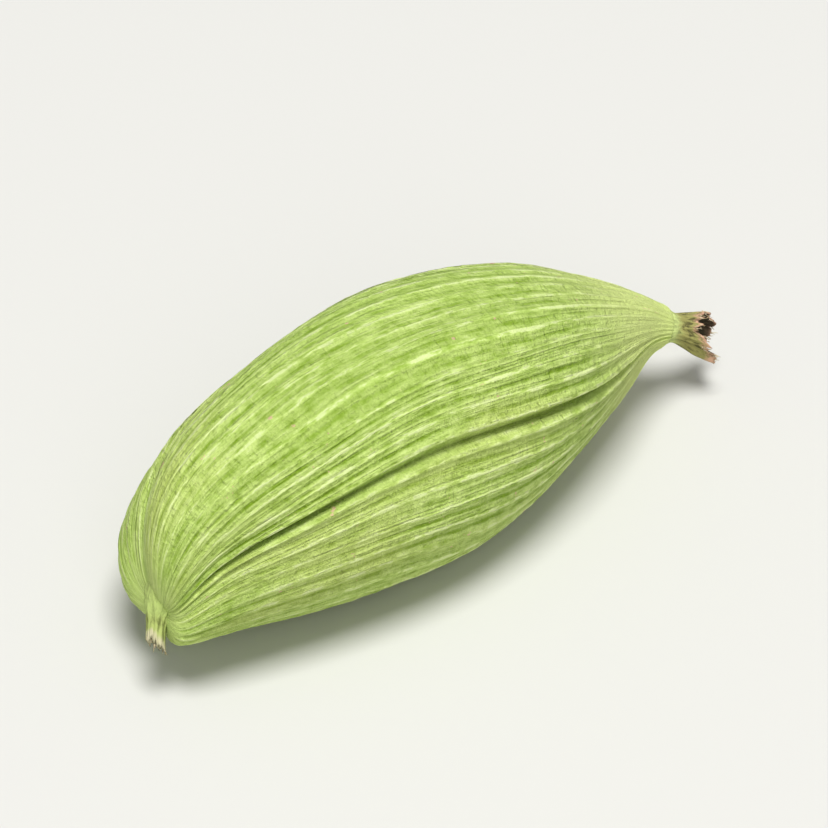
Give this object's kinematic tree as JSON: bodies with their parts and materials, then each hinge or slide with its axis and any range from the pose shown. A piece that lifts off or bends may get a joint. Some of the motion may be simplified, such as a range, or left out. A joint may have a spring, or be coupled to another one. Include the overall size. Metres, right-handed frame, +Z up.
{
  "type": "green cardamom pod",
  "caption": "Whole dried green cardamom pod lying on its side, with a ribbed three-lobed husk, a broken stalk stump and a dried flower tube.",
  "frame": {"origin": "on the surface that the pod lies on, under the middle of its box", "axes": "+X along the pod towards the pointed end with the flower tube, +Z up, +Y to the side that the middle of the pod stands out to"},
  "size_m": [0.0214, 0.0082, 0.0077],
  "materials": {
    "husk": "matte dried plant husk, pale green on the ribs and olive green between them",
    "dry_tissue": "matte straw-brown dead tissue of the flower tube and of the stalk's broken stump"
  },
  "bodies": {
    "root": {"cardamom_pod": "husk"}
  },
  "joints": []
}
